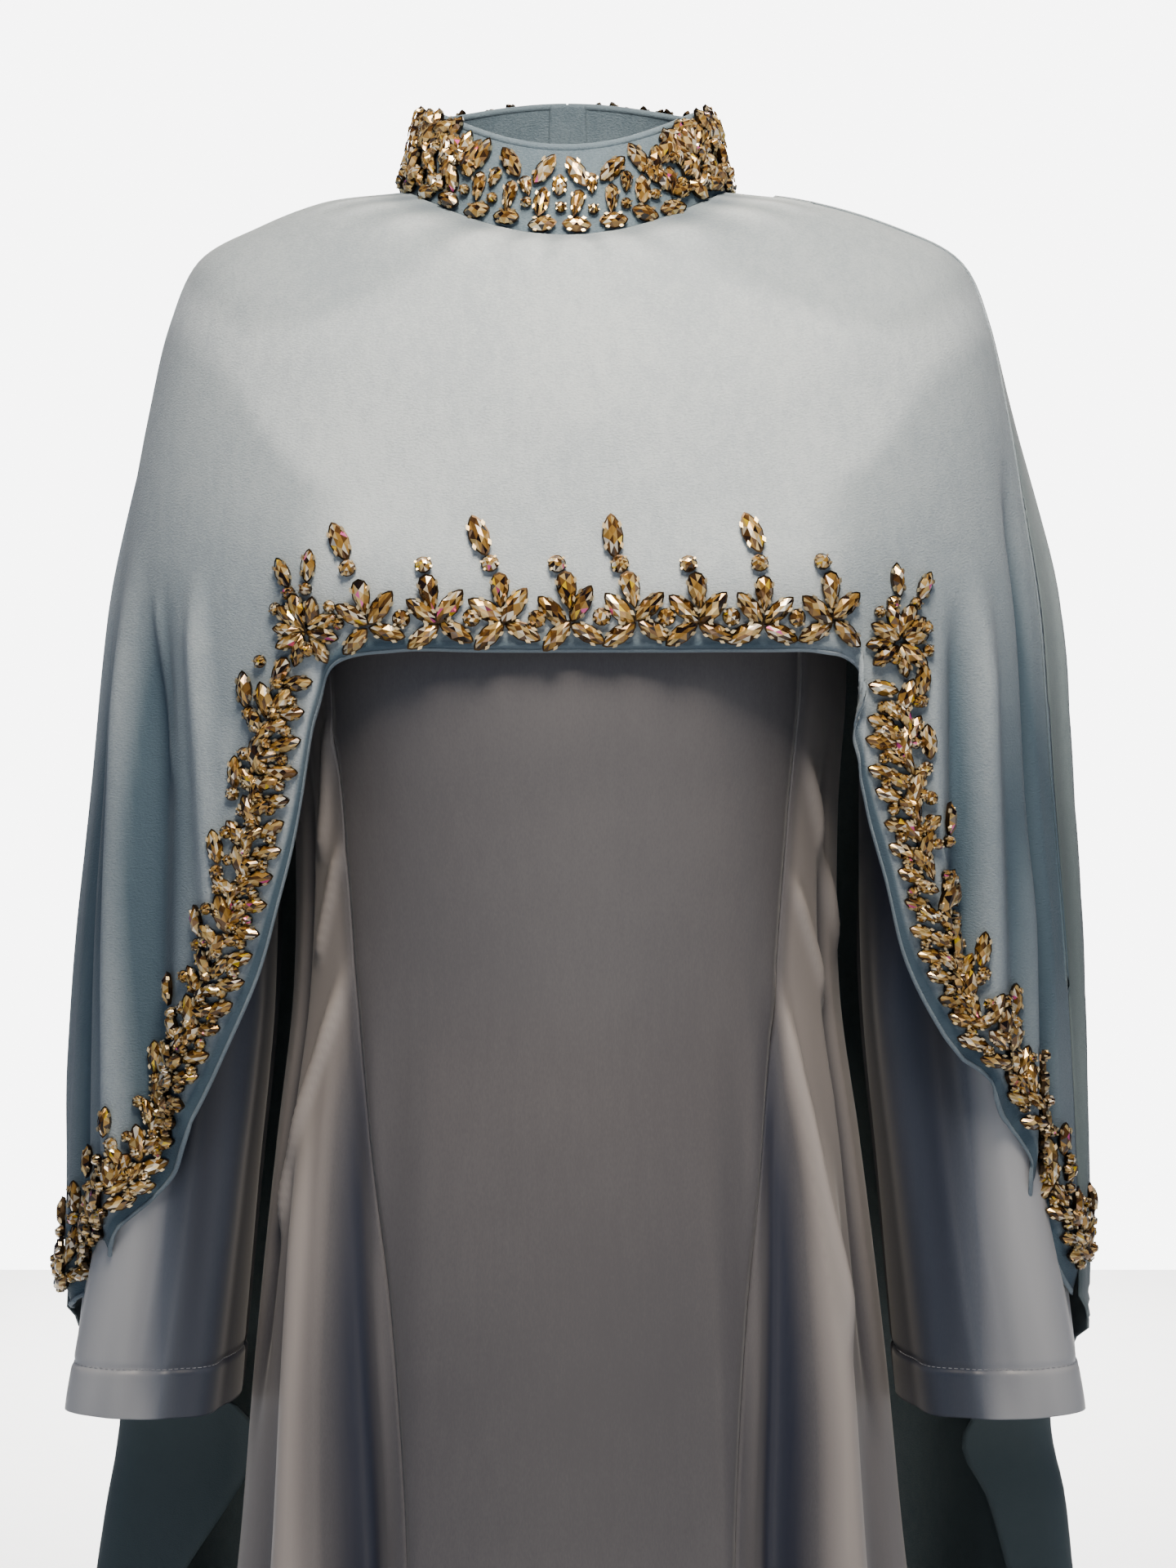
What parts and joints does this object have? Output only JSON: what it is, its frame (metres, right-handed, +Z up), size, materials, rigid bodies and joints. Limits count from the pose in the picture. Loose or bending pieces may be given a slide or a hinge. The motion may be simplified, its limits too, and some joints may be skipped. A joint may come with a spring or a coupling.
{
  "type": "caped evening gown",
  "caption": "Full-length gown with long bell sleeves and a floor-length cape whose scooped front hem and standing collar carry a crystal leaf border.",
  "frame": {"origin": "middle of the neck, level with the foot of the standing collar", "axes": "+Z up along the body to the head, -Y out of the wearer's front, +X to the wearer's left"},
  "size_m": [0.6294, 0.505, 1.5232],
  "materials": {
    "crepe": "matt crinkled crepe, dusty light blue",
    "chiffon": "matt sheer chiffon, grey blue",
    "satin": "satin-backed crepe with a soft sheen, dusty blue grey",
    "crystal": "faceted champagne rhinestones in dark metal claws"
  },
  "bodies": {
    "root": {"collar": "crepe", "collar_crystals": "crystal", "cape_front": "crepe", "cape_back_left": "chiffon", "cape_back_right": "chiffon", "hem_crystals": "crystal", "gown_front": "satin", "gown_side_left": "satin", "gown_side_right": "satin", "gown_back_left": "satin", "gown_back_right": "satin", "sleeve_left": "satin", "sleeve_right": "satin"}
  },
  "joints": []
}
